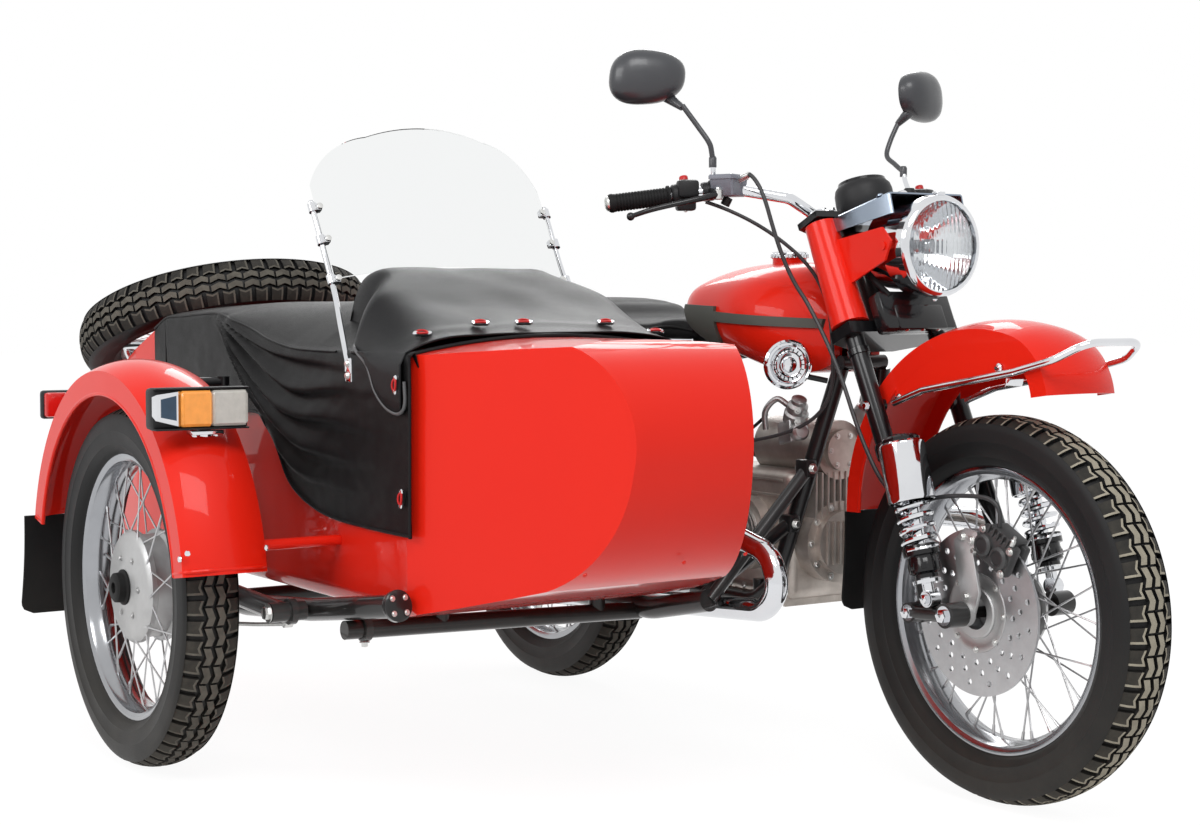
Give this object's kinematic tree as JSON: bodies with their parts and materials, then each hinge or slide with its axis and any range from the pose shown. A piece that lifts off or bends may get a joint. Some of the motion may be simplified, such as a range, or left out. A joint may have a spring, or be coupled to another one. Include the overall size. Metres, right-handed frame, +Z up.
{
  "type": "sidecar motorcycle",
  "caption": "Flat-twin motorcycle with a covered one-seat sidecar, small windscreen, spare wheel on the boot lid and fendered side wheel.",
  "frame": {"origin": "on the ground under the middle of the vehicle's bounding box", "axes": "+X forward along the bike, +Y to its left, +Z up"},
  "size_m": [2.6513, 1.7088, 1.3675],
  "materials": {
    "red_paint": "gloss",
    "black_paint": "gloss",
    "chrome": "polished",
    "polished_alloy": "polished",
    "cast_alloy": "cast",
    "steel": "brushed",
    "tyre_rubber": "matte",
    "black_rubber": "matte",
    "black_vinyl": "satin",
    "seat_leather": "satin",
    "black_plastic": "matte",
    "gloss_plastic": "gloss",
    "amber_lens": "gloss",
    "red_lens": "gloss",
    "clear_glass": "clear"
  },
  "bodies": {
    "chassis": {"main_frame": "black_paint", "engine_case": "cast_alloy", "cylinders": "cast_alloy", "intake": "black_plastic", "exhaust": "chrome", "fuel_tank": "red_paint", "knee_pads": "black_rubber", "saddle": "seat_leather", "rear_fender": "red_paint", "tail_lamp": "red_lens", "plate_bracket": "black_paint", "rear_shocks": "chrome", "swingarm": "black_paint", "side_boxes": "black_plastic", "foot_controls": "steel", "horn": "chrome", "tub": "red_paint", "sidecar_frame": "black_paint", "sidecar_arm": "black_paint", "rear_springs": "chrome", "sidecar_fender": "red_paint", "fender_flap": "black_rubber", "fender_lamps": "amber_lens", "windscreen": "clear_glass", "windscreen_posts": "chrome", "apron": "black_vinyl", "tonneau": "black_vinyl", "throttle_cable": "black_rubber"},
    "fork": {"fork": "black_paint", "fork_shrouds": "red_paint", "headlamp": "chrome", "headlamp_lens": "clear_glass", "handlebar": "chrome", "grips": "black_rubber", "hand_controls": "black_plastic", "mirrors": "gloss_plastic", "instrument": "black_plastic", "front_fender": "red_paint", "fender_rail": "chrome", "front_flap": "black_rubber", "front_links": "black_paint", "front_shocks": "chrome", "front_springs": "chrome", "caliper": "cast_alloy", "brake_hose": "black_rubber"},
    "front_wheel": {"front_tyre": "tyre_rubber", "front_rim": "polished_alloy", "brake_disc": "steel"},
    "rear_wheel": {"rear_tyre": "tyre_rubber", "rear_rim": "polished_alloy"},
    "sidecar_wheel": {"sidecar_tyre": "tyre_rubber", "sidecar_rim": "polished_alloy"},
    "boot_lid": {"trunk_lid": "red_paint", "spare_carrier": "black_paint", "spare_rim": "polished_alloy", "spare_tyre": "tyre_rubber"},
    "centre_stand": {"centre_stand": "black_paint"}
  },
  "joints": [
    {"name": "steering", "type": "hinge", "parent": "chassis", "child": "fork", "pos_m": [0.63671, 0.41755, 0.827], "axis": [-0.4226, 0, 0.9063], "range_deg": [-30, 30], "deforming": ["throttle_cable"]},
    {"name": "front_spin", "type": "hinge", "parent": "fork", "child": "front_wheel", "pos_m": [0.98071, 0.41755, 0.345], "axis": [0, 1, 0], "continuous": true},
    {"name": "rear_spin", "type": "hinge", "parent": "chassis", "child": "rear_wheel", "pos_m": [-0.51929, 0.41755, 0.345], "axis": [0, 1, 0], "continuous": true},
    {"name": "sidecar_spin", "type": "hinge", "parent": "chassis", "child": "sidecar_wheel", "pos_m": [-0.15029, -0.74745, 0.345], "axis": [0, 1, 0], "continuous": true},
    {"name": "boot_lid_hinge", "type": "hinge", "parent": "chassis", "child": "boot_lid", "pos_m": [-0.64429, -0.21245, 0.861], "axis": [0, 1, 0], "range_deg": [0, 60]},
    {"name": "stand_pivot", "type": "hinge", "parent": "chassis", "child": "centre_stand", "pos_m": [-0.11929, 0.41755, 0.262], "axis": [0, -1, 0], "range_deg": [0, 90]}
  ]
}
